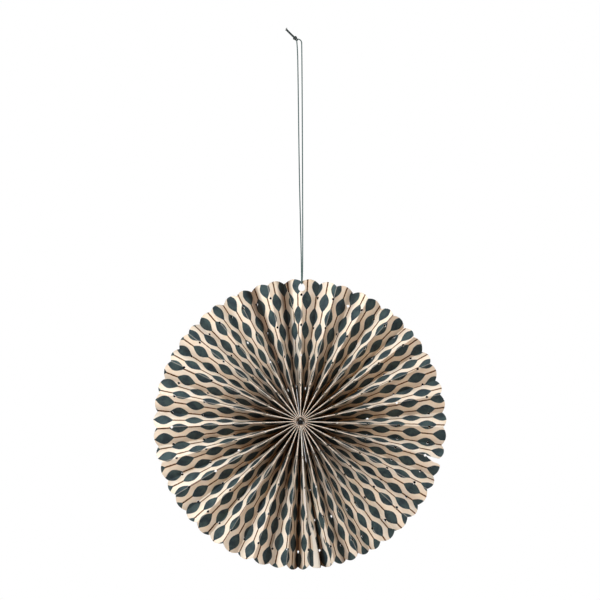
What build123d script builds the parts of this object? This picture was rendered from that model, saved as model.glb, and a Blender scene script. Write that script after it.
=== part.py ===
"""Pleated paper medallion that hangs from a cord loop.

Two printed paper strips are folded into parallel pleats, drawn together at
the hub by a thread and glued to each other, so that they open to a full
disc. Units are millimetres. The disc stands in the XZ plane with its front
towards -Y and its hanging hole at +Z. The origin is the centre of the hub,
half way through the depth of the pleats.
"""

import os
from math import atan2, cos, degrees, pi, radians, sin, sqrt, tan

from build123d import *

# Paper and pleats
pleat_count = 27  # ridges round the disc
right_pleats = 14  # pleats of the right strip, the left strip has the rest
rim_depth = 11.33  # of the pleats at the rim, front to back, where they stand most open
paper_thickness = 0.3
crown_height = 0.25  # of a fold's outer edge above the middle of the paper, at most
hub_radius = 3.4  # where the inner edges of the panels close up
rim_radius = 150.0  # crests of the scalloped rim
scallop_depth = 3.6  # from a crest down to the fold beside it

# Nicks cut in the folded edges, which open as small diamond holes
nick_length = 3.2  # along the fold
nick_width = 4.0  # across it, in the flat paper
nick_rows = 4
nick_first_radius = 37.0
nick_pitch = 31.2
hanging_hole_diameter = 8.4
hanging_hole_margin = 3.6  # paper left between the hole and the fold's rim end

# Glued laps: wedges of the left strip that lie on the right strip
lap_inner_radius = 40.0
lap_inner_share = 0.12  # share of the panel's width that is covered
lap_outer_share = 0.8
glue_line = 0.1
lap_bite = 0.15  # how far a lap's root is let into its own strip's fold

# Tear in the rim beside one fold
tear_ridge = 8
tear_width = 6.0

# Thread that draws the hub together, with its knot in the hub opening
tie_diameter = 0.7
tie_radius = 6.0  # of the ring of thread inside the pleats
tie_clearance = 0.2
tie_knot_diameter = 5.6
tie_knot_length = 4.4

# Hanging cord: one length, threaded through the hole and knotted at the top
cord_diameter = 1.2
cord_clearance = 0.2
hook_diameter = 3.6  # what the loop hung over
loop_top = 396.0  # height of the loop's top above the hub
loop_shift = -1.5  # the hook is a little to the left of the hole
knot_diameter = 4.4
knot_length = 6.4
tail_length = 11.0
tail_spacing = 1.5
tail_angle = 46.0  # of the cut ends, above the horizontal

# Radii where the folds are sectioned: close together at the hub, where the
# panels nearly touch, and again at the rim, where the creases bend most.
hub_steps = [1.0, 1.8, 3.4, 9.5]
rim_steps = [0.4, 0.58, 0.75, 0.88, 1.03]

flat_enough = 1e-6  # in cubic millimetres, of a side's four corners

half_pitch = radians(180 / pleat_count)
chord_ratio = 2 * sin(half_pitch / 2)
# Flat width of the paper from one crease to the next
panel_width = sqrt(rim_depth**2 + (chord_ratio * rim_radius) ** 2)


def crease_height(radius):
    """Distance of a crease from the mid-plane of the disc."""
    return sqrt(panel_width**2 - (chord_ratio * radius) ** 2) / 2


def fold(radius):
    """Half width, half height and slope length of a pleat cut square to its ridge."""
    half_width = radius * tan(half_pitch)
    height = crease_height(radius)
    slope = sqrt(half_width**2 + 4 * height**2)
    return half_width, height, slope


def fold_edges(radius):
    """Heights of a fold's outer and inner edge, measured from its crease."""
    half_width, height, slope = fold(radius)
    inner = paper_thickness * slope / (2 * half_width)
    return min(inner, crown_height), inner


def section(radius, outline):
    """The (across, forward) points of an outline set up square to +Z."""
    return [Vector(across, -forward, radius) for across, forward in outline]


def polygon(*points):
    return Face(Wire.make_polygon(points, close=True))


def creased_skin(sections, ridges):
    """A closed solid through sections, each twisted side halved by one diagonal.

    The diagonal leaves the ridge at the outer section, so that both faces of
    the paper bend alike. A side that isn't twisted stays whole.
    """
    faces = [polygon(*sections[0]), polygon(*sections[-1])]
    count = len(ridges)
    for inner, outer in zip(sections, sections[1:]):
        for i in range(count):
            j = (i + 1) % count
            twist = (inner[j] - inner[i]).cross(outer[j] - inner[i])
            if abs(twist.dot(outer[i] - inner[i])) < flat_enough:
                faces.append(polygon(inner[i], inner[j], outer[j], outer[i]))
            elif ridges[i]:
                faces.append(polygon(inner[i], inner[j], outer[i]))
                faces.append(polygon(inner[j], outer[j], outer[i]))
            else:
                faces.append(polygon(inner[i], inner[j], outer[j]))
                faces.append(polygon(inner[i], outer[j], outer[i]))
    return Solid(Shell(faces))


def pleat_outline(radius):
    """One ridge with half of the valley on each side of it."""
    half_width, height, slope = fold(radius)
    outer, inner = fold_edges(radius)
    return [
        (0, height + outer),
        (half_width, inner - height),
        (half_width, -height - outer),
        (0, height - inner),
        (-half_width, -height - outer),
        (-half_width, inner - height),
    ]


def stations():
    inner = [hub_radius * step for step in hub_steps]
    return inner + [rim_radius * step for step in rim_steps]


def plain_pleat():
    """A single pleat on the ridge at the top, before anything is cut."""
    ridges = [True, False, False, True, False, False]
    return creased_skin([section(r, pleat_outline(r)) for r in stations()], ridges)


def scallops():
    """Two scallops of one pleat, drawn from the front and run through it."""
    fold_radius = rim_radius - scallop_depth
    points = {}
    for step in (-2, -1, 0, 1, 2):
        angle = step * half_pitch / 2
        radius = rim_radius if step % 2 else fold_radius
        points[step] = Vector(radius * sin(angle), 0, radius * cos(angle))
    arcs = [
        ThreePointArc(points[-2], points[-1], points[0]),
        ThreePointArc(points[0], points[1], points[2]),
    ]
    side = rim_radius * tan(half_pitch)
    corners = [points[2], Vector(side * 2, 0, 0), Vector(-side * 2, 0, 0), points[-2]]
    outline = Wire([*arcs, *Polyline(*corners).edges()])
    return extrude(Face(outline), amount=panel_width, dir=(0, 1, 0), both=True)


def fold_plane(radius, forward):
    """A plane on the ridge at a radius, looking along the disc's axis."""
    return Plane(origin=(0, 0, radius), x_dir=(1, 0, 0), z_dir=(0, -forward, 0))


def narrowed(radius):
    """How narrow a width across a fold looks from the front."""
    half_width, height, slope = fold(radius)
    return half_width / slope


def nick(radius, forward):
    """A diamond hole on a fold, as it looks from the front."""
    half_width = nick_width / 2 * narrowed(radius)
    half_length = nick_length / 2
    corners = [(half_width, 0), (0, half_length), (-half_width, 0), (0, -half_length)]
    outline = fold_plane(radius, forward) * Polygon(*corners, align=None)
    return extrude(outline, amount=panel_width)


def valley_nick(radius, side):
    """The same hole in the valley beside the top ridge, to its right or left."""
    return nick(radius, -1).rotate(Axis.Y, side * degrees(half_pitch))


def nick_radii():
    return [nick_first_radius + nick_pitch * row for row in range(nick_rows)]


def cut_pleat():
    """A pleat with its scallops, its nicked folds and the thread's needle slits."""
    pleat = plain_pleat() & scallops()
    cutters = []
    for radius in nick_radii():
        cutters.append(nick(radius, 1))
        cutters.append(valley_nick(radius, -1))
        cutters.append(valley_nick(radius, 1))
    slit = tie_diameter + 2 * tie_clearance
    bore = Rot(45, 0, 0) * Box(4 * tie_radius, slit, slit)
    cutters.append(Pos(0, 0, tie_radius) * bore)
    return pleat - cutters


def at_ridge(shape, ridge):
    """Turn a shape from the top to a ridge, clockwise as seen from the front."""
    return shape.rotate(Axis.Y, ridge * 2 * degrees(half_pitch))


def strip(pleat, first, count):
    copies = [at_ridge(pleat, ridge) for ridge in range(first, first + count)]
    return copies[0].fuse(*copies[1:])


def lap_outline(radius):
    """A lap on the panel to the right of a ridge, rooted in the valley there."""
    half_width, height, slope = fold(radius)
    outer, inner = fold_edges(radius)
    valley = Vector(half_width, inner - height)
    crown = Vector(0, height + outer)
    along = (crown - valley).normalized()
    out = Vector(along.Y, -along.X)
    lean = 2 * along.X * along.Y
    points = []
    for lift in (glue_line, glue_line + paper_thickness):
        root = (lap_bite + lift * (along.X**2 - along.Y**2)) / lean
        points.append(valley + out * lift + along * root)
        points.append(crown + out * lift)
    low_root, low_crown, high_root, high_crown = points
    return [(point.X, point.Y) for point in (low_root, low_crown, high_crown, high_root)]


def lap_edge(radius, share):
    """Point of the lap's slanting free edge, seen from the front."""
    half_width, height, slope = fold(radius)
    return Vector(half_width * (1 - share), 0, radius)


def lap():
    """The lap beside the top ridge, scalloped and nicked like the panel under it."""
    radii = [r for r in stations() if r > lap_inner_radius / 2]
    sections = [section(r, lap_outline(r)) for r in radii]
    low, high = lap_inner_radius, rim_radius
    edge = [
        lap_edge(low, lap_inner_share),
        lap_edge(high, lap_outer_share),
        Vector(panel_width * 2, 0, high),
        Vector(panel_width * 2, 0, low),
    ]
    wedge = extrude(polygon(*edge), panel_width, dir=(0, 1, 0), both=True)
    body = creased_skin(sections, [False, True, True, False]) & scallops() & wedge
    return body - [valley_nick(radius, 1) for radius in nick_radii()]


def hanging_hole_radius():
    fold_radius = rim_radius - scallop_depth
    return fold_radius - hanging_hole_margin - hanging_hole_diameter / 2


def tear():
    """A ragged wedge from the outermost nick out through the rim."""
    apex = nick_radii()[-1]
    reach = rim_radius - apex
    edge = [
        Vector(0, 0, apex),
        Vector(0, 0, apex + reach * 1.1),
        Vector(tear_width, 0, apex + reach * 1.1),
        Vector(tear_width * 0.72, 0, apex + reach * 0.7),
        Vector(tear_width * 0.56, 0, apex + reach * 0.4),
        Vector(tear_width * 0.2, 0, apex + reach * 0.15),
    ]
    wedge = extrude(polygon(*edge), panel_width, dir=(0, 1, 0), both=True)
    return at_ridge(wedge, tear_ridge)


def tie_way():
    """Where the thread leaves its ring and comes in to the hub, at the lower seam."""
    width = tie_diameter + 2 * tie_clearance
    return Pos(0, 0, -tie_radius / 2) * Box(width, width, tie_radius)


def hanging_hole():
    """A round hole through the top ridge, punched through both panels."""
    radius = hanging_hole_radius()
    round_hole = hanging_hole_diameter / 2
    outline = Ellipse(round_hole * narrowed(radius), round_hole)
    return extrude(fold_plane(radius, 1) * outline, amount=panel_width)


def sheets():
    """The two strips: the left one's end laps lie on the right one's end panels."""
    pleat = cut_pleat()
    right = strip(pleat, 0, right_pleats)
    right = right - [hanging_hole(), tear(), tie_way()]
    left = strip(pleat, right_pleats, pleat_count - right_pleats)
    lower = at_ridge(lap(), right_pleats - 1)
    upper = lap().mirror(Plane.YZ)
    left = left.fuse(lower, upper) - tie_way()
    return right, left


def lump(width, length):
    """A drawn-up knot: a short eight-sided barrel along Z."""
    barrel = extrude(RegularPolygon(width / 2, 8), length / 2, both=True)
    rims = barrel.faces().filter_by(Axis.Z).edges()
    return chamfer(rims, width / 5)


def centre_tie():
    """The thread, straight from pleat to pleat, its end led in, and its knot."""
    flat = tie_diameter / 2
    outside = RegularPolygon(tie_radius + flat, pleat_count, major_radius=False)
    inside = RegularPolygon(tie_radius - flat, pleat_count, major_radius=False)
    ring = Rot(90, 0, 0) * extrude(outside - inside, flat, both=True)
    ring = ring.rotate(Axis.Y, 90 + degrees(half_pitch))
    lead = Pos(0, 0, -tie_radius / 2) * Box(tie_diameter, tie_diameter, tie_radius)
    return ring + lead + Rot(90, 0, 0) * lump(tie_knot_diameter, tie_knot_length)


def strand_depths():
    """Forward places of the cord's two strands, before and behind the fold."""
    gap = cord_diameter / 2 + cord_clearance
    hole_top = hanging_hole_radius() + hanging_hole_diameter / 2
    outer, inner = fold_edges(hole_top)
    front = crease_height(hole_top) + outer + gap
    rim_fold = rim_radius - scallop_depth
    outer, inner = fold_edges(rim_fold)
    return front, crease_height(rim_fold) - inner - gap / narrowed(rim_fold)


def knot_centre(middle):
    return Vector(loop_shift - 4.7, -middle, loop_top + 0.6)


def tail_direction():
    angle = radians(tail_angle)
    return Vector(-cos(angle), 0, sin(angle))


def cord_route():
    """Corner points of the cord, from the knot round the paper and back."""
    front, back = strand_depths()
    middle = (front + back) / 2
    half_loop = (hook_diameter + cord_diameter) / 2
    hole_top = hanging_hole_radius() + hanging_hole_diameter / 2
    turn = hole_top - cord_diameter / 2 - cord_clearance / 2
    knot = knot_centre(middle)
    return [
        knot + Vector(1.2, 0, -2.3),
        Vector(loop_shift - half_loop, -middle, loop_top - 8),
        Vector(0, -back, turn),
        Vector(0, -front, turn),
        Vector(loop_shift + half_loop, -middle, loop_top),
        knot + Vector(1.8, 0, -1.0),
    ]


def corner_radii(points):
    radii = []
    for before, corner, after in zip(points, points[1:], points[2:]):
        shorter = min((corner - before).length, (after - corner).length)
        turn = radians((corner - before).get_angle(after - corner))
        radii.append(0.45 * shorter / tan(turn / 2))
    return radii


def hanging_cord():
    points = cord_route()
    radii = corner_radii(points)
    path = FilletPolyline(*points, radius=radii)
    start = Plane(origin=path @ 0, z_dir=path % 0)
    tube = sweep(start * Circle(cord_diameter / 2), path=path)
    solid_length = tube.volume / (pi * cord_diameter**2 / 4)
    print("cord corner radii", [round(radius, 2) for radius in radii])
    print("cord path", round(path.length, 2), "and by volume", round(solid_length, 2))
    return tube


def cord_knot(tube):
    """The knot that joins the strands, drawn tight, with its two cut ends."""
    front, back = strand_depths()
    centre = knot_centre((front + back) / 2)
    plane = Plane(origin=centre, x_dir=(0, 1, 0), z_dir=tail_direction())
    core = lump(knot_diameter, knot_length)
    tail = Cylinder(cord_diameter / 2, tail_length)
    height = (knot_length + tail_length) / 2 - cord_diameter
    for side in (-1, 1):
        core += Pos(side * tail_spacing / 2, 0, height) * tail
    return plane * core - tube


right_sheet, left_sheet = sheets()
tie = centre_tie()
cord = hanging_cord()
pieces = {
    "right_pleated_sheet": right_sheet,
    "left_pleated_sheet": left_sheet,
    "centre_tie": tie,
    "hanging_cord": cord,
    "cord_knot": cord_knot(cord),
}

os.makedirs("parts", exist_ok=True)
for name, shape in pieces.items():
    export_step(shape, f"parts/{name}.step")
    print(name, len(shape.solids()), "solid", round(shape.volume, 2), "mm3")
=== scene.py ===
"""The look of the pleated paper medallion: printed paper, thread and cord."""

import math

import bmesh
import bpy
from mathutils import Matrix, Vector, noise


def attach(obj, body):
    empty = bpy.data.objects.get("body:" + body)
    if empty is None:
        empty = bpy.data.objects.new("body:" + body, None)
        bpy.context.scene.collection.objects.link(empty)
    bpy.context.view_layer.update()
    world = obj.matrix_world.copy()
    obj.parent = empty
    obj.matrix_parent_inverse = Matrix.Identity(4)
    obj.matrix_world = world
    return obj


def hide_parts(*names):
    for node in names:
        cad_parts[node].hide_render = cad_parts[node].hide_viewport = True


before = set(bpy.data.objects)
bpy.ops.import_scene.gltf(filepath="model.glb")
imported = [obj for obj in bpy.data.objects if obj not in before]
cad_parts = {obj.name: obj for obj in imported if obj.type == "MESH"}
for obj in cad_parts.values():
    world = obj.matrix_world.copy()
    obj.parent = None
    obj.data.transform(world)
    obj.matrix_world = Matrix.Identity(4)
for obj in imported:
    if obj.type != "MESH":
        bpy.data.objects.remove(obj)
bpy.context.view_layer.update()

MM = 0.001


def linear(red, green, blue):
    """A colour given in sRGB bytes, as Blender's linear values."""
    out = []
    for value in (red, green, blue):
        value = value / 255
        out.append(value / 12.92 if value <= 0.04045 else ((value + 0.055) / 1.055) ** 2.4)
    return (*out, 1.0)


def smooth(value, low, high):
    t = min(1.0, max(0.0, (value - low) / (high - low)))
    return t * t * (3 - 2 * t)


def wobble(x, y, z=0.0):
    """Smooth noise between about -1 and 1 that is the same in each run."""
    return noise.noise(Vector((x + 17.3, y - 4.1, z + 9.7))) * 1.6


def new_object(name, mesh):
    obj = bpy.data.objects.new(name, mesh)
    bpy.context.scene.collection.objects.link(obj)
    return obj


class Nodes:
    """A short way to write a material's nodes."""

    def __init__(self, material):
        material.use_nodes = True
        self.tree = material.node_tree
        self.tree.nodes.clear()

    def add(self, kind, inputs=None, **settings):
        node = self.tree.nodes.new(kind)
        for key, value in settings.items():
            setattr(node, key, value)
        for key, value in (inputs or {}).items():
            self.put(node.inputs[key], value)
        return node

    def put(self, socket, value):
        if isinstance(value, bpy.types.NodeSocket):
            self.tree.links.new(value, socket)
        else:
            socket.default_value = value

    def math(self, operation, *values, clamp=False):
        node = self.tree.nodes.new("ShaderNodeMath")
        node.operation = operation
        node.use_clamp = clamp
        for socket, value in zip(node.inputs, values):
            self.put(socket, value)
        return node.outputs[0]

    def ramp(self, value, low, high, start=0.0, end=1.0):
        node = self.tree.nodes.new("ShaderNodeMapRange")
        node.interpolation_type = "SMOOTHSTEP"
        for socket, given in zip(node.inputs, (value, low, high, start, end)):
            self.put(socket, given)
        return node.outputs[0]

    def mix(self, factor, first, second, blend="MIX"):
        node = self.tree.nodes.new("ShaderNodeMix")
        node.data_type = "RGBA"
        node.blend_type = blend
        self.put(node.inputs["Factor"], factor)
        self.put(node.inputs[6], first)
        self.put(node.inputs[7], second)
        return node.outputs[2]

    def noise(self, vector, scale, detail=3.0, roughness=0.5):
        values = {"Vector": vector, "Scale": scale, "Detail": detail, "Roughness": roughness}
        return self.add("ShaderNodeTexNoise", values).outputs["Fac"]

    def stretch(self, vector, scale):
        node = self.add("ShaderNodeVectorMath", {0: vector, 1: scale}, operation="MULTIPLY")
        return node.outputs[0]


# The camera looks along +Y and a little upward, as the photograph does
SPAN = 0.612
DISTANCE = 4.0
camera_data = bpy.data.cameras.new("camera")
camera_data.sensor_width = 36.0
camera_data.lens = 36.0 * DISTANCE / SPAN
camera_data.clip_end = 60.0
camera = new_object("camera", camera_data)
target = Vector((-0.0005, 0.0, 0.1264))
look = Vector((0.0, math.cos(math.radians(10)), math.sin(math.radians(10))))
camera.location = target - look * DISTANCE
camera.rotation_euler = look.to_track_quat("-Z", "Y").to_euler()
bpy.context.scene.camera = camera


# The cord, in millimetres: from the knot down one strand, through the hole and back up
CORD = 1.2 * MM  # its thickness
KNOT = Vector((-5.1, -6.03, 398.9)) * MM  # its middle
TAIL_ANGLE = math.radians(46)
TAIL = Vector((-math.cos(TAIL_ANGLE), 0.0, math.sin(TAIL_ANGLE)))
TAILS = ((-1, 12.6, 0.35), (1, 12.0, 0.25))  # side of the pair, length and bend of each cut end
TURN = 4.6 * MM  # of the strands round the cord
TIGHT_TURN = 4.2 * MM  # the same in the knot and its cut ends
KNOT_STEPS = 240
HAIRS = 9  # that fray from each cut end
ROUTE = [
    (-4.0, -6.03, 397.2),
    (-3.1, -6.03, 390.5),
    (-2.5, -5.9, 360.0),
    (-1.3, -5.4, 258.0),
    (0.6, -4.9, 180.0),
    (1.1, -4.82, 150.0),
    (1.1, -4.82, 142.1),
    (1.5, -7.25, 142.1),
    (2.1, -7.25, 150.0),
    (2.3, -6.9, 190.0),
    (2.0, -6.5, 290.0),
    (1.4, -6.03, 390.0),
    (1.0, -6.03, 398.2),
    (-3.5, -6.03, 398.4),
]


def smooth_line(name, points):
    """The points, in metres, that Blender gives for a spline on these corners."""
    curve = bpy.data.curves.new(name, "CURVE")
    curve.dimensions = "3D"
    curve.resolution_u = 24
    spline = curve.splines.new("NURBS")
    spline.points.add(len(points) - 1)
    for place, point in zip(spline.points, points):
        place.co = (*(Vector(point) * MM), 1.0)
    spline.order_u = 3
    spline.use_endpoint_u = True
    holder = new_object(name, curve)
    depsgraph = bpy.context.evaluated_depsgraph_get()
    mesh = bpy.data.meshes.new_from_object(holder.evaluated_get(depsgraph))
    line = [v.co.copy() for v in mesh.vertices]
    bpy.data.objects.remove(holder)
    bpy.data.curves.remove(curve)
    bpy.data.meshes.remove(mesh)
    return line


def travelled(line):
    total = [0.0]
    for before, after in zip(line, line[1:]):
        total.append(total[-1] + (after - before).length)
    return total


def walk(line, step):
    """Evenly spaced places on a line, with a frame that doesn't spin."""
    total = travelled(line)
    count = max(2, round(total[-1] / step))
    places, at = [], 0
    for i in range(count + 1):
        want = total[-1] * i / count
        while at < len(line) - 2 and total[at + 1] < want:
            at += 1
        part = (want - total[at]) / max(1e-9, total[at + 1] - total[at])
        places.append(line[at].lerp(line[at + 1], min(1.0, part)))
    frames = []
    side = None
    for i, place in enumerate(places):
        ahead = places[min(i + 1, count)] - places[max(i - 1, 0)]
        ahead.normalize()
        if side is None:
            side = ahead.orthogonal().normalized()
        side = (side - ahead * side.dot(ahead)).normalized()
        frames.append((place, ahead, side, ahead.cross(side), total[-1] * i / count))
    return frames


def rope(bm, frames, radius, lay, lobes=3, sides=18, flare=0.0):
    """A closed twisted tube: its lobes are the strands, lay is one turn's length."""
    rings = []
    length = frames[-1][4]
    for place, ahead, side, other, run in frames:
        twist = 2 * math.pi * run / lay
        end = min(run, length - run) / radius
        taper = math.sqrt(min(1.0, 0.35 + end * 0.65))
        grow = 1 + flare * smooth(run, length - 2.4 * radius, length)
        ring = []
        for i in range(sides):
            angle = 2 * math.pi * i / sides
            groove = abs(math.sin(lobes * (angle - twist) / 2)) ** 0.7
            reach = radius * (0.80 + 0.21 * groove) * taper * grow
            reach *= 1 + 0.02 * wobble(run / MM * 0.9, angle)
            point = place + (side * math.cos(angle) + other * math.sin(angle)) * reach
            ring.append(bm.verts.new(point))
        rings.append(ring)
    for before, after in zip(rings, rings[1:]):
        for i in range(sides):
            j = (i + 1) % sides
            face = bm.faces.new((before[i], before[j], after[j], after[i]))
            face.smooth = True
    bm.faces.new(list(reversed(rings[0])))
    bm.faces.new(rings[-1])


def closed_rope(bm, frames, radius, lay, lobes=3, sides=16):
    """The same tube on a closed line."""
    turns = max(1, round(frames[-1][4] / lay))
    lay = frames[-1][4] / turns
    rings = []
    for place, ahead, side, other, run in frames[:-1]:
        twist = 2 * math.pi * run / lay
        ring = []
        for i in range(sides):
            angle = 2 * math.pi * i / sides
            groove = abs(math.sin(lobes * (angle - twist) / 2)) ** 0.7
            reach = radius * (0.80 + 0.21 * groove)
            point = place + (side * math.cos(angle) + other * math.sin(angle)) * reach
            ring.append(bm.verts.new(point))
        rings.append(ring)
    count = len(rings)
    for at in range(count):
        before, after = rings[at], rings[(at + 1) % count]
        shift = 0
        if at == count - 1:
            start = before[0].co
            shift = min(range(sides), key=lambda i: (after[i].co - start).length)
        for i in range(sides):
            j = (i + 1) % sides
            a, b = (i + shift) % sides, (j + shift) % sides
            face = bm.faces.new((before[i], before[j], after[b], after[a]))
            face.smooth = True


def from_bmesh(name, bm):
    mesh = bpy.data.meshes.new(name)
    bmesh.ops.recalc_face_normals(bm, faces=bm.faces)
    bm.to_mesh(mesh)
    bm.free()
    return new_object(name, mesh)


cord_line = smooth_line("cord_line", ROUTE)
cord_frames = walk(cord_line, 0.62 * MM)
bm = bmesh.new()
rope(bm, cord_frames, CORD / 2, TURN)
cord = from_bmesh("hanging_cord_twisted", bm)

# The knot: a strand drawn up over itself, with two cut ends that have begun to fray
bm = bmesh.new()
along = TAIL
across = Vector((0.0, 1.0, 0.0))
third = along.cross(across)
loops = []
for i in range(KNOT_STEPS + 1):
    t = 2 * math.pi * i / KNOT_STEPS
    x = math.sin(t) + 2 * math.sin(2 * t)
    y = math.cos(t) - 2 * math.cos(2 * t)
    z = -math.sin(3 * t)
    loops.append(KNOT + (third * x * 0.62 + along * y * 0.84 + across * z * 0.72) * MM)
closed_rope(bm, walk(loops, 0.3 * MM), CORD / 2 * 1.04, TIGHT_TURN)
for sign, reach, bend in TAILS:
    start = KNOT + along * 1.2 * MM + (across * 0.2 + third * 0.5) * sign * MM
    middle = start + along * reach * 0.5 * MM + third * bend * MM
    tip = start + along * reach * MM + third * bend * 0.4 * MM
    line = [start.lerp(middle, t / 12).lerp(middle.lerp(tip, t / 12), t / 12) for t in range(13)]
    rope(bm, walk(line, 0.3 * MM), CORD / 2 * 0.92, TIGHT_TURN, sides=14, flare=0.22)
    end = (line[-1] - line[-2]).normalized()
    for hair in range(HAIRS):
        angle = 2.4 * hair + sign
        lean = (across * math.cos(angle) + third * math.sin(angle)) * (0.10 + 0.06 * (hair % 3))
        root = line[-1] - end * 0.5 * MM + lean * 2.2 * MM
        length = (0.9 + 0.22 * ((hair * 5) % 4)) * MM
        fray = [root + (end * t + lean * t * t * 1.2) * length / 3 for t in range(4)]
        rope(bm, walk(fray, 0.25 * MM), 0.11 * MM, 1.5 * MM, lobes=2, sides=6)
knot = from_bmesh("cord_knot_drawn_up", bm)


# The pleated paper, in millimetres
FOLDS = 56  # creases round the disc: even ones are ridges, odd ones valleys
STEP = 360 / FOLDS
LOW_SEAM = 27  # crease where the right strip ends and the left one begins
TOP_SEAM = 55  # crease where the left strip ends
TOP_SEAM_RIGHT = TOP_SEAM - FOLDS  # the same crease, counted from the right strip
MARGIN_PANELS = (LOW_SEAM, LOW_SEAM + 1)  # they carry the unprinted margin
BY_TOP_RIDGE = (-1, 0, FOLDS - 1)  # panels beside the top ridge, the first under both numbers
PANEL = 20.8  # width of a panel from crease to crease
HUB = 3.4  # the creases' inner ends
RIM_FOLD = 146.4  # the creases' outer ends
RIM = 150  # crests of the scallops
CREST = 3.6  # of a scallop past the creases' ends
SCALLOP_FROM, TRIM_FROM = 141.5, 142.9  # rows inside these keep clear of the rim's shape
NICKS = (37.0, 68.2, 99.4, 130.6)  # radii of their middles
NICK_LONG = 1.6  # half a nick's length along the crease
NICK_WIDE = 2.3  # how far it is cut into each panel
NICK_ROOM = 2.9  # no other row of the grid lies this near a nick
HOLE_AT = 138.6
HOLE = 4.2  # its radius
TEAR_FOLD = 16
TEAR_EDGE = ((0, 0), (0.15, 1.2), (0.4, 3.36), (0.7, 4.32), (1.1, 6.0))  # share of the way, width
CLOSED_TEAR = 0.12  # width of the cut on the tear's straight side
TOP_CHORD = 0.1163  # a panel's chord by the radius at the top ridge, which the cord lifts
PAPER = 0.24  # visible thickness
PRESSED_PAPER = 0.08  # the same at the hub, where the pleats are pressed together
MITRE_IN, MITRE_OUT = 0.15, 0.2  # most that a skin stands off inside and outside a crease
STRIP_GAP = 0.018  # share of a panel that the right strip's ends stop short of the seams
LAP_LIFT = 0.4  # between the middles of a lap and of the panel that it lies on
LAP_FROM = 40.0  # the laps' inner ends
LAP_SHARES = (0.0, 0.16, 0.32, 0.48, 0.60, 0.72, 0.86, 1.0)
THREAD_COLUMN, THREAD_ROW = 7, 5.3  # where each panel is slit for the centre tie
LEAD_END = 6.0  # the slit is open to the hub below this on the margin's panels
MARGIN = 0.35  # of the third print value at the unprinted margin's edge
PAINTED_SHADE_VALLEYS = ((54, 0.9), (-1, 0.9), (3, 0.5))  # crease beside the top whose valley is given painted shade, how much

# Slow unevenness of the folding, in degrees: turns round the disc, size, phase
UNEVEN = (
    (1, 2.489, 172.8),
    (2, 0.752, 49.9),
    (3, 0.800, -59.3),
    (4, 0.538, 26.2),
    (5, 0.341, -23.8),
    (6, 0.187, -50.4),
)
PRESSED = 19.1  # degrees by which the pleats near the lower seam stand closer together
PRESSED_FROM, PRESSED_TO = 141.4, 192.9  # the even angles between which they do


def drift(angle):
    """How far a crease lies past its even angle, in degrees."""
    share = min(1.0, max(0.0, (angle - PRESSED_FROM) / (PRESSED_TO - PRESSED_FROM)))
    total = PRESSED * (angle / 360 - share)
    for turns, size, phase in UNEVEN:
        total += size * math.sin(math.radians(turns * angle + phase))
    return total


START = drift(0.0) - 0.5  # the top ridge leans half a degree to the right


def fold_angle(fold):
    """A crease's angle, clockwise from the top, in radians."""
    angle = fold * STEP
    near_top = (1 + math.cos(math.radians(angle))) / 2
    return math.radians(angle + drift(angle % 360) - START * near_top)


ANGLES = {fold: fold_angle(fold) for fold in range(-3, FOLDS + 3)}


def crease(fold, radius):
    """A point of a crease, in millimetres."""
    angle = ANGLES[fold]
    pitch = (ANGLES[fold + 1] - ANGLES[fold - 1]) / 2
    height = math.sqrt(max(4.0, PANEL**2 - (2 * math.sin(pitch / 2) * radius) ** 2)) / 2
    if fold % FOLDS == 0:
        height = math.sqrt(PANEL**2 - (TOP_CHORD * radius) ** 2) / 2
    at_top = (fold + 1) % FOLDS < 3  # the top ridge and its two neighbours hold still
    free = smooth(radius, 25, 110) * (0.0 if at_top else 1.0)
    angle += free * 0.0022 * wobble(fold * 3.1, radius * 0.018)
    height += free * 0.35 * wobble(fold * 2.3 + 40, radius * 0.02)
    forward = height if fold % 2 == 0 else -height
    return Vector((radius * math.sin(angle), -forward, radius * math.cos(angle)))


def rim_cut(angle):
    """How far the rim was trimmed in from its full radius, a little off centre."""
    return 1.3 + 0.7 * math.cos(angle) + 0.65 * math.sin(angle) + 0.25 * wobble(angle * 6.0, 8.0)


def paper_at(panel, u, row, lift=0.0):
    """Middle of the paper at share u of a panel's width, on a row of the grid."""
    open_end = 4 * u * (1 - u)
    angle = ANGLES[panel] + (ANGLES[panel + 1] - ANGLES[panel]) * u
    radius = row + smooth(row, SCALLOP_FROM, RIM_FOLD) * CREST * open_end * 1.07
    radius -= smooth(row, TRIM_FROM, RIM_FOLD) * max(0.0, rim_cut(angle))
    before, after = crease(panel, radius), crease(panel + 1, radius)
    point = before.lerp(after, u)
    outward = Vector((point.x, 0, point.z)).normalized()
    square = (after - before).cross(outward).normalized()
    calm = smooth(radius, 30, 115)
    bow = 0.55 * wobble(panel * 5.7, radius * 0.012)
    bow += 0.28 * wobble(panel * 9.1, radius * 0.035, u * 2)
    if panel in BY_TOP_RIDGE:
        bow *= 0.5
    bend = round_fold(u * PANEL, radius) - round_fold((1 - u) * PANEL, radius)
    if panel % 2:
        bend = -bend
    if panel == LOW_SEAM:  # the unprinted margin curls up
        stand = smooth(u, 0.05, 0.42) * (1 - smooth(u, 0.42, 0.92))
        lift += 3.8 * smooth(radius, 55, 125) * stand
    return point + square * (bow * calm * open_end + lift + bend)


def round_fold(far, radius):
    """A fold isn't knife sharp: the paper swells round it, most near the hub."""
    swell = 0.10 + 0.20 * (1 - smooth(radius, 15, 90))
    return swell * smooth(far, 0, 0.3) * (1 - smooth(far, 0.5, 2.4))


def front_normal(panel, u, row, lift=0.0):
    """The paper's direction towards its printed side."""
    aside, along = 0.006, 0.4
    right_of = paper_at(panel, min(1, u + aside), row, lift)
    left_of = paper_at(panel, max(0, u - aside), row, lift)
    above = paper_at(panel, u, row + along, lift)
    below = paper_at(panel, u, max(HUB, row - along), lift)
    return (right_of - left_of).cross(above - below).normalized()


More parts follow.
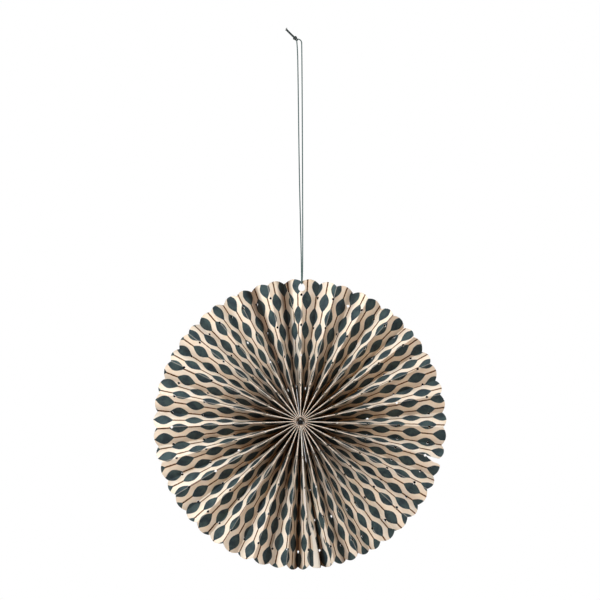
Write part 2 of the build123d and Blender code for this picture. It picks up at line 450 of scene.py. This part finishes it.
def thickness(radius):
    return PRESSED_PAPER + (PAPER - PRESSED_PAPER) * smooth(radius, 3, 26)


def grid_rows():
    """Radii of the grid's rows on the creases, fine at the nicks and the hole."""
    rows = [3.4, 4.3, 5.3, 6.7, 8.4, 11.0, 14.5, 18.5, 22.5, 26.5, 30.5, 33.5]
    rows += [40.0 + 4.4 * i for i in range(24)]
    for nick in NICKS:
        rows = [row for row in rows if abs(row - nick) > NICK_ROOM]
        rows += [nick + NICK_LONG * t for t in (-1, -0.5, 0, 0.5, 1)]
    rows = [row for row in rows if row < 133.0]
    turns = (-90, -70, -48, -24, 0, 24, 48, 70, 90)
    rows += [HOLE_AT + HOLE * math.sin(math.radians(turn)) for turn in turns]
    rows += [143.9, 145.2, RIM_FOLD]
    return sorted(set(round(row, 3) for row in rows))


ROWS = grid_rows()
COLUMNS = (0.0, 0.007, 0.02, 0.05, 0.12, 0.24, 0.36, 0.46)
COLUMNS += (0.54, 0.64, 0.76, 0.88, 0.95, 0.98, 0.993, 1.0)


def cut_back(fold, side, row):
    """How far the cuts keep a panel off its fold, in flat millimetres, or None."""
    for nick in NICKS[:3] if fold in (TOP_SEAM_RIGHT, TOP_SEAM) else NICKS:
        off = abs(row - nick)
        if off < NICK_LONG - 0.01:
            uneven = 1 + 0.18 * wobble(fold * 7.7, nick)
            return NICK_WIDE * uneven * (1 - off / NICK_LONG) ** 0.8
    if fold == 0 and abs(row - HOLE_AT) < HOLE - 0.01:
        return math.sqrt(HOLE**2 - (row - HOLE_AT) ** 2)
    if fold == TEAR_FOLD and row > NICKS[-1]:
        part = (row - NICKS[-1]) / (RIM - NICKS[-1])
        if side > 0:
            for (low, a), (high, b) in zip(TEAR_EDGE, TEAR_EDGE[1:]):
                if part <= high:
                    ragged = 0.35 * wobble(row * 1.9, 5.0)
                    width = a + (b - a) * (part - low) / (high - low) + ragged
                    return max(0.15, width / (2 * math.sin(math.radians(STEP / 2)) * row / PANEL))
        return CLOSED_TEAR
    return None


def mitre(radius, inner):
    """How far a skin stands off the middle of the paper at a fold."""
    half = thickness(radius) / 2 * PANEL / (radius * math.radians(STEP))
    return min(half, MITRE_IN if inner else MITRE_OUT)


class Sheet:
    """The two skins of one strip, joined round each of its edges."""

    def __init__(self):
        self.front, self.back = [], []
        self.flat, self.print = [], []
        self.faces = []
        self.shared = {}

    def vertex(self, middle, front, back, flat, ink):
        self.front.append(middle + front)
        self.back.append(middle + back)
        self.flat.append(flat)
        self.print.append(ink)
        return len(self.front) - 1

    def build(self, name, materials):
        count = len(self.front)
        sides, seen = [], set()
        for face in self.faces:
            for a, b in zip(face, face[1:] + face[:1]):
                seen.add((a, b))
        for a, b in seen:
            if (b, a) not in seen:
                sides.append((b, a, a + count, b + count))
        backs = [tuple(v + count for v in reversed(face)) for face in self.faces]
        mesh = bpy.data.meshes.new(name)
        points = [p * MM for p in self.front + self.back]
        mesh.from_pydata(points, [], [tuple(f) for f in self.faces] + backs + sorted(sides))
        for slot in materials:
            mesh.materials.append(slot)
        kinds = [0] * len(self.faces) + [1] * len(backs) + [2] * len(sides)
        mesh.polygons.foreach_set("material_index", kinds)
        for key, values in (("flat", self.flat), ("ink", self.print)):
            layer = mesh.attributes.new(key, "FLOAT_VECTOR", "POINT")
            numbers = [n for value in values + values for n in value]
            layer.data.foreach_set("vector", numbers)
        mesh.validate()
        bm = bmesh.new()
        bm.from_mesh(mesh)
        loose = [v for v in bm.verts if not v.link_faces]
        bmesh.ops.delete(bm, geom=loose, context="VERTS")
        for face in bm.faces:
            face.smooth = True
        for edge in bm.edges:
            bent = len(edge.link_faces) == 2 and edge.calc_face_angle(0) > math.radians(28)
            edge.smooth = not bent
        bm.to_mesh(mesh)
        bm.free()
        return new_object(name, mesh)


def ink_place(fold_share, radius, right):
    """Place in the print: across and along it, from the middle of a leaf."""
    across = fold_share * PANEL
    if right:
        return across - 218.0, radius - 125.8 - 8.2 * smooth(fold_share, 6.7, 26.2)
    return across - 884.1, radius - 138.6 - 2.6 * smooth(fold_share, 38, 54.5)


def bare_margin(panel, u, radius):
    """Over MARGIN on the unprinted wedge along the ridge beside the lower seam."""
    if panel not in MARGIN_PANELS:
        return 0.0
    off = abs(panel - LOW_SEAM + u - 1.0 + 0.44 * smooth(radius, 75, 132))
    half = 0.25 - 0.16 * smooth(radius, 85, 108) + 0.08 * smooth(radius, 118, 146)
    return MARGIN + half - off


def fold_offsets(fold, radius):
    """From the middle of the paper to its two skins, at a crease."""
    ridge = fold % 2 == 0
    forward = mitre(radius, not ridge)
    backward = mitre(radius, ridge)
    return Vector((0, -forward, 0)), Vector((0, backward, 0))


def seam_shift(row):
    """How far from the seam the left strip's own paper ends, to clear the right strip's."""
    lean = min(0.98, row * math.radians(STEP) / PANEL)
    double = 2 * lean * math.sqrt(1 - lean * lean)
    return min(1.5, LAP_LIFT / max(0.05, double))


def add_panel(sheet, panel, right, first, last):
    """One panel of a strip, between the creases panel and panel + 1."""
    rows = []
    for row in ROWS:
        low, high = cut_back(panel, 1, row), cut_back(panel + 1, -1, row)
        open_low, open_high = low is not None, high is not None
        low, high = (low or 0.0) / PANEL, 1 - (high or 0.0) / PANEL
        ends = {panel: open_low, panel + 1: open_high}
        if right and panel == first:
            low, ends[panel] = max(low, STRIP_GAP), True
        if right and panel + 1 == last:
            high, ends[panel + 1] = min(high, 1 - STRIP_GAP), True
        line = []
        for column, share in enumerate(COLUMNS):
            u = low + (high - low) * share
            fold = panel if column == 0 else panel + 1 if column == len(COLUMNS) - 1 else None
            if not right and fold in (first, last):
                part = seam_shift(row) / PANEL
                u = max(u, part) if fold == first else min(u, 1 - part)
            if fold is not None and not ends[fold] and (fold, row) in sheet.shared:
                line.append(sheet.shared[fold, row])
                continue
            point = paper_at(panel, u, row)
            radius = math.hypot(point.x, point.z)
            half = thickness(radius) / 2
            if fold is None or ends[fold]:
                normal = front_normal(panel, u, row)
                front, back = normal * half, normal * -half
            else:
                front, back = fold_offsets(fold, radius)
            flat = ((panel + u) * PANEL, radius, u)
            ink = (*ink_place(panel + u, radius, right), bare_margin(panel, u, radius))
            index = sheet.vertex(point, front, back, flat, ink)
            if fold is not None and not ends[fold]:
                sheet.shared[fold, row] = index
            line.append(index)
        rows.append(line)
    if panel + 1 < last or not right:
        add_tongues(sheet, panel, rows)
    for i, (inner, outer) in enumerate(zip(rows, rows[1:])):
        for c in range(len(COLUMNS) - 1):
            lead = ROWS[i] < LEAD_END and panel in MARGIN_PANELS
            if c == THREAD_COLUMN and (ROWS[i] == THREAD_ROW or lead):
                continue
            sheet.faces.append((inner[c], inner[c + 1], outer[c + 1], outer[c]))


def add_tongues(sheet, panel, rows):
    """What was cut in each nick stays on this panel, bent in behind the fold."""
    fold = panel + 1
    for nick in NICKS:
        near = [i for i, row in enumerate(ROWS) if abs(row - nick) < NICK_LONG + 0.01]
        torn = fold == TEAR_FOLD and nick == NICKS[-1]
        fallen = (fold * 5 + round(nick)) % 13 == 3
        uncut = (fold, ROWS[near[0]]) not in sheet.shared or cut_back(fold, -1, nick) is None
        if torn or fallen or uncut:
            continue
        ends = [rows[i][-1] for i in near]
        free = []
        for i in near[1:-1]:
            row = ROWS[i]
            wide = cut_back(fold, -1, row)
            low = paper_at(panel, 1 - wide / PANEL, row)
            across = crease(fold, row) - low
            across.y = 0
            reach = min(2 * across.length * 0.86, 3.0)
            inward = (0.8 if fold % 2 == 0 else -0.5) * (1 - abs(row - nick) / NICK_LONG * 0.5)
            point = low + across.normalized() * reach + Vector((0, inward, 0))
            normal = Vector((0, -1, 0)) * thickness(row) / 2
            # a third value of 2 marks a tongue, which the print paints near black as painted shade
            flat = (fold * PANEL, row, 2.0)
            ink = (*ink_place(fold, row, False), 0.0)
            free.append(sheet.vertex(point, normal, -normal, flat, ink))
        a, b, c, d, e = ends
        f, g, h = free
        sheet.faces += [(a, f, b), (b, f, g, c), (c, g, h, d), (d, h, e)]


def lap_width(fold, row):
    """Share of a panel that the lap covers: wide at the rim below, at the hub above."""
    if fold == LOW_SEAM:
        return 0.12 + 0.68 * (row - 40) / 110
    return min(0.88, 0.04 + 0.0125 * (148 - row))


def add_lap(sheet, panel, fold):
    """A wedge of the left strip that lies on the right strip's end panel."""
    rows = []
    for row in [r for r in ROWS if r >= LAP_FROM]:
        width = lap_width(fold, row)
        start = cut_back(fold, 1, row)
        begin = 0.0 if start is None else start / PANEL / width
        line = []
        for column, share in enumerate(LAP_SHARES):
            part = begin + (1 - begin) * share
            if column == 0 and start is None:
                line.append(sheet.shared[fold, row])
                continue
            reach = part * width
            if column == len(LAP_SHARES) - 1:
                reach += 0.006 * wobble(row * 0.35, fold)
            u = 1 - reach if fold == panel + 1 else reach
            point = paper_at(panel, u, row, LAP_LIFT)
            normal = front_normal(panel, u, row, LAP_LIFT)
            radius = math.hypot(point.x, point.z)
            half = thickness(radius) / 2
            past = fold - reach if fold == panel + 1 else fold + reach
            flat = (past * PANEL, radius, part)
            ink = (*ink_place(past, radius, False), 0.0)
            line.append(sheet.vertex(point, normal * half, normal * -half, flat, ink))
        rows.append(line)
    for inner, outer in zip(rows, rows[1:]):
        for c in range(len(LAP_SHARES) - 1):
            face = (inner[c], inner[c + 1], outer[c + 1], outer[c])
            sheet.faces.append(face if fold == panel else tuple(reversed(face)))


# The print, in millimetres: half the pitch of the leaves across and along the folds
ACROSS, ALONG = 11.73, 15.65
LEAF_WIDE, LEAF_LONG = 6.3, 10.4  # halves
STEM = 0.72  # half a stem's width


def fibres(n, flat):
    return n.noise(n.stretch(flat, (1.0, 0.22, 1.0)), 3.1, 5.0, 0.65)


def paper_surface(n, colour, rough, fibre, relief, shine, tint, share):
    """Rough paper that passes a share of the light, tinted."""
    bump = n.add("ShaderNodeBump", {"Strength": relief, "Distance": 0.00006, "Height": fibre})
    shader = n.add("ShaderNodeBsdfPrincipled", {"Base Color": colour, "Roughness": rough})
    n.put(shader.inputs["Specular IOR Level"], shine)
    n.put(shader.inputs["Normal"], bump.outputs[0])
    glow = n.mix(1.0, colour, tint, "MULTIPLY")
    through = n.add("ShaderNodeBsdfTranslucent", {"Color": glow})
    surface = n.add("ShaderNodeMixShader", {0: share, 1: shader.outputs[0], 2: through.outputs[0]})
    n.add("ShaderNodeOutputMaterial", {"Surface": surface.outputs[0]})


def printed_paper():
    """The front: flat holds the place on the strip, ink the place in the print."""
    front = bpy.data.materials.new("printed_paper")
    n = Nodes(front)
    flat = n.add("ShaderNodeAttribute", attribute_name="flat").outputs["Vector"]
    ink = n.add("ShaderNodeAttribute", attribute_name="ink").outputs["Vector"]
    fold = n.add("ShaderNodeSeparateXYZ", {0: flat}).outputs
    place = n.add("ShaderNodeSeparateXYZ", {0: ink}).outputs

    # Leaves in columns a half drop apart, each on a thin stem
    stray = n.math("MULTIPLY", n.math("SUBTRACT", n.noise(flat, 0.35, 4.0, 0.6), 0.5), 0.9)
    column = n.math("ABSOLUTE", n.math("WRAP", n.math("ADD", place[0], stray), ACROSS, -ACROSS))
    row = n.math("ABSOLUTE", n.math("WRAP", place[1], ALONG, -ALONG))
    other_column = n.math("SUBTRACT", ACROSS, column)
    other_row = n.math("SUBTRACT", ALONG, row)
    leaves, stems = [], []
    for across, down in ((column, row), (other_column, other_row)):
        part = n.math("MINIMUM", n.math("DIVIDE", down, LEAF_LONG), 1.0)
        turn = n.math("MULTIPLY", part, math.pi / 2)
        width = n.math("MULTIPLY", n.math("POWER", n.math("COSINE", turn), 1.1), LEAF_WIDE)
        leaves.append(n.ramp(n.math("SUBTRACT", width, across), -0.12, 0.16))
        stems.append(n.ramp(n.math("SUBTRACT", STEM, across), -0.16, 0.14))
    leaf = n.math("MAXIMUM", *leaves)
    stem = n.math("MAXIMUM", *stems)

    mottle = n.noise(flat, 0.09, 4.0, 0.6)
    fibre = fibres(n, flat)
    paper = n.mix(n.ramp(mottle, 0.3, 0.7), linear(247, 248, 240), linear(244, 239, 222))
    paper = n.mix(n.ramp(fibre, 0.56, 0.74, 0.0, 0.3), paper, linear(228, 209, 178))
    brown = n.mix(fibre, linear(46, 28, 14), linear(88, 54, 26))
    slate = n.mix(n.ramp(mottle, 0.35, 0.65), linear(50, 65, 73), linear(71, 91, 94))
    slate = n.mix(n.ramp(fibre, 0.60, 0.76, 0.0, 0.45), slate, linear(100, 120, 120))
    inside = n.math("SUBTRACT", 1.5, n.math("MINIMUM", column, other_column))
    bleed = n.ramp(inside, 0.0, 0.9, 0.0, 0.62)
    colour = n.mix(bleed, paper, linear(236, 190, 130))
    colour = n.mix(stem, colour, brown)
    colour = n.mix(leaf, colour, slate)

    # Ink cracked off along the ridges, with painted highlight on the crests that is widest and
    # strongest towards the hub, and the strip's bare margin
    near = n.math("ABSOLUTE", n.math("WRAP", fold[0], PANEL, -PANEL))
    wear_and_highlight_width = n.ramp(fold[1], 20.0, 100.0, 1.3, 0.5)
    crack_and_highlight = n.math("MULTIPLY", n.ramp(near, 0.25, wear_and_highlight_width, 1.0, 0.0), n.ramp(fibre, 0.30, 0.5))
    crack_and_highlight = n.math("MULTIPLY", crack_and_highlight, n.ramp(fold[1], 20.0, 110.0, 1.0, 0.28))
    # near-white on the ridges: worn ink, and painted highlight on the crests near the hub
    colour = n.mix(crack_and_highlight, colour, linear(253, 248, 238))
    margin = n.ramp(place[2], MARGIN - 0.01, MARGIN + 0.01)
    colour = n.mix(margin, colour, linear(255, 253, 248))

    # Painted shade: the colour darkens deep in the pleats towards the hub and on the valley sides,
    # most where the pleats stand pressed, and in the hub
    deep_shade = n.math("MULTIPLY", n.ramp(near, 0.8, 8.0), n.ramp(fold[1], 10.0, 110.0, 0.95, 0.0))
    valley_shade = n.math("MULTIPLY", n.ramp(near, 8.0, 19.0), 0.3)
    from_seam = n.math("ABSOLUTE", n.math("SUBTRACT", fold[0], (LOW_SEAM + 1) * PANEL))
    pressed = n.ramp(from_seam, 5.6 * PANEL, 1.2 * PANEL)
    for valley, strength in PAINTED_SHADE_VALLEYS:
        off = n.math("ABSOLUTE", n.math("SUBTRACT", fold[0], valley * PANEL))
        pressed = n.math("MAXIMUM", pressed, n.ramp(off, 2.1 * PANEL, 1.0 * PANEL, 0.0, strength))
    cleft_shade = n.math("MULTIPLY", n.ramp(near, 9.0, 17.0), pressed)
    painted_shade = n.math("MAXIMUM", n.math("MAXIMUM", deep_shade, valley_shade), n.math("MULTIPLY", cleft_shade, 0.98))
    painted_shade = n.math("MULTIPLY", painted_shade, n.math("SUBTRACT", 1.0, margin))
    # painted shade right at the hub
    painted_shade = n.math("MAXIMUM", painted_shade, n.ramp(fold[1], 5.2, 3.6, 0.0, 0.9))
    # the painted shade multiplies the colour by a warm dark brown
    colour = n.mix(painted_shade, colour, n.mix(1.0, colour, linear(110, 81, 55), "MULTIPLY"))
    # The nicks' bent-in tongues are painted near black: painted shade, so the nicks look dark
    colour = n.mix(n.ramp(fold[2], 1.0, 1.1), colour, linear(22, 15, 11))

    rough = n.math("SUBTRACT", n.ramp(fibre, 0.3, 0.7, 0.72, 0.9), n.math("MULTIPLY", leaf, 0.12))
    tint = n.mix(margin, linear(255, 216, 156), linear(255, 250, 240))
    paper_surface(n, colour, rough, fibre, 0.35, 0.25, tint, 0.30)
    return front


def paper_back():
    back = bpy.data.materials.new("paper_back")
    n = Nodes(back)
    flat = n.add("ShaderNodeAttribute", attribute_name="flat").outputs["Vector"]
    mottle = n.noise(flat, 0.07, 4.0, 0.6)
    fibre = fibres(n, flat)
    paper = n.mix(n.ramp(mottle, 0.3, 0.7), linear(241, 229, 208), linear(231, 214, 187))
    paper = n.mix(n.ramp(fibre, 0.56, 0.76, 0.0, 0.4), paper, linear(208, 186, 154))
    rough = n.ramp(fibre, 0.3, 0.7, 0.78, 0.92)
    paper_surface(n, paper, rough, fibre, 0.4, 0.2, linear(255, 226, 180), 0.34)
    return back


def paper_edge():
    edge = bpy.data.materials.new("paper_cut_edge")
    n = Nodes(edge)
    place = n.add("ShaderNodeTexCoord").outputs["Object"]
    fray = n.noise(place, 2600.0, 3.0, 0.6)
    colour = n.mix(fray, linear(226, 206, 172), linear(238, 222, 196))
    bump = n.add("ShaderNodeBump", {"Strength": 0.3, "Distance": 0.00005, "Height": fray})
    rough = n.ramp(fray, 0.3, 0.7, 0.82, 0.95)
    shader = n.add("ShaderNodeBsdfPrincipled", {"Base Color": colour, "Roughness": rough})
    n.put(shader.inputs["Normal"], bump.outputs[0])
    n.add("ShaderNodeOutputMaterial", {"Surface": shader.outputs[0]})
    return edge


paper = (printed_paper(), paper_back(), paper_edge())
right = Sheet()
for panel in range(TOP_SEAM_RIGHT, LOW_SEAM):
    add_panel(right, panel, True, TOP_SEAM_RIGHT, LOW_SEAM)
right = right.build("right_strip_printed", paper)
left = Sheet()
for panel in range(LOW_SEAM, TOP_SEAM):
    add_panel(left, panel, False, LOW_SEAM, TOP_SEAM)
add_lap(left, LOW_SEAM - 1, LOW_SEAM)
add_lap(left, TOP_SEAM, TOP_SEAM)
left = left.build("left_strip_printed", paper)


def yarn_material(name, dark, pale, scale):
    material = bpy.data.materials.new(name)
    n = Nodes(material)
    place = n.add("ShaderNodeTexCoord").outputs["Object"]
    hairs = n.noise(place, scale, 6.0, 0.7)
    tufts = n.noise(n.stretch(place, (1.0, 1.0, 0.12)), scale * 0.7, 4.0, 0.6)
    patches = n.noise(place, 60.0, 3.0, 0.5)
    colour = n.mix(n.ramp(hairs, 0.35, 0.7), dark, pale)
    colour = n.mix(n.ramp(tufts, 0.5, 0.75, 0.0, 0.5), colour, pale)
    colour = n.mix(n.ramp(patches, 0.35, 0.7, 0.0, 0.35), colour, dark)
    bump = n.add("ShaderNodeBump", {"Strength": 0.7, "Distance": 0.00012, "Height": hairs})
    rough = n.ramp(hairs, 0.3, 0.7, 0.7, 0.92)
    shader = n.add("ShaderNodeBsdfPrincipled", {"Base Color": colour, "Roughness": rough})
    shader.inputs["Sheen Weight"].default_value = 0.15
    shader.inputs["Sheen Roughness"].default_value = 0.4
    n.put(shader.inputs["Normal"], bump.outputs[0])
    n.add("ShaderNodeOutputMaterial", {"Surface": shader.outputs[0]})
    return material


cord_yarn = yarn_material("cord_yarn", linear(25, 50, 49), linear(64, 98, 93), 5200.0)
knot_yarn = yarn_material("knot_yarn", linear(8, 17, 17), linear(30, 48, 47), 5200.0)
thread_yarn = yarn_material("thread_yarn", linear(8, 9, 9), linear(22, 26, 25), 6000.0)
cord.data.materials.append(cord_yarn)
knot.data.materials.append(knot_yarn)

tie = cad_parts["centre_tie"]
for slot in tie.material_slots:
    slot.material = thread_yarn


for piece, node, slot in (
    (right, "right_pleated_sheet", "printed_paper"),
    (left, "left_pleated_sheet", "printed_paper"),
    (cord, "hanging_cord", "cord"),
    (knot, "cord_knot", "cord"),
):
    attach(piece, "root")
    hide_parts(node)


# The studio: a pale floor, a white background and soft lamps
floor_mesh = bpy.data.meshes.new("floor")
corners = [(-4, -5, -1.4), (4, -5, -1.4), (4, 4, -1.4), (-4, 4, -1.4)]
floor_mesh.from_pydata(corners, [], [(0, 1, 2, 3)])
floor = new_object("floor", floor_mesh)
pale = bpy.data.materials.new("pale_floor")
n = Nodes(pale)
shade = n.add("ShaderNodeBsdfDiffuse", {"Color": (0.8, 0.8, 0.8, 1.0)})
n.add("ShaderNodeOutputMaterial", {"Surface": shade.outputs[0]})
floor_mesh.materials.append(pale)

world = bpy.data.worlds.new("studio")
bpy.context.scene.world = world
n = Nodes(world)
rays = n.add("ShaderNodeLightPath").outputs
soft = n.add("ShaderNodeBackground", {"Color": (1.0, 0.985, 0.96, 1.0), "Strength": 0.03})
white = n.add("ShaderNodeBackground", {"Color": (1.0, 1.0, 1.0, 1.0), "Strength": 1.0})
shown = n.math("MAXIMUM", rays["Is Glossy Ray"], rays["Is Transmission Ray"])
shown = n.math("MAXIMUM", rays["Is Camera Ray"], shown)
both = n.add("ShaderNodeMixShader", {0: shown, 1: soft.outputs[0], 2: white.outputs[0]})
n.add("ShaderNodeOutputWorld", {"Surface": both.outputs[0]})


def lamp(name, place, aim, size, power, colour=(1.0, 1.0, 1.0)):
    data = bpy.data.lights.new(name, "AREA")
    data.shape = "SQUARE"
    data.size = size
    data.energy = power
    data.color = colour
    obj = new_object(name, data)
    obj.location = place
    obj.rotation_euler = (Vector(aim) - Vector(place)).to_track_quat("-Z", "Y").to_euler()


lamp("key", (-0.41, -1.0, 0.41), (0, 0, 0.0), 0.35, 18.3)
lamp("front_fill", (0.3, -2.6, 0.3), (0, 0, 0.0), 1.4, 1.6, (1.0, 0.94, 0.84))
lamp("back_soft", (0.7, 2.3, 1.5), (0, 0, 0.0), 1.8, 60.0)

bpy.context.scene.view_settings.view_transform = "Standard"
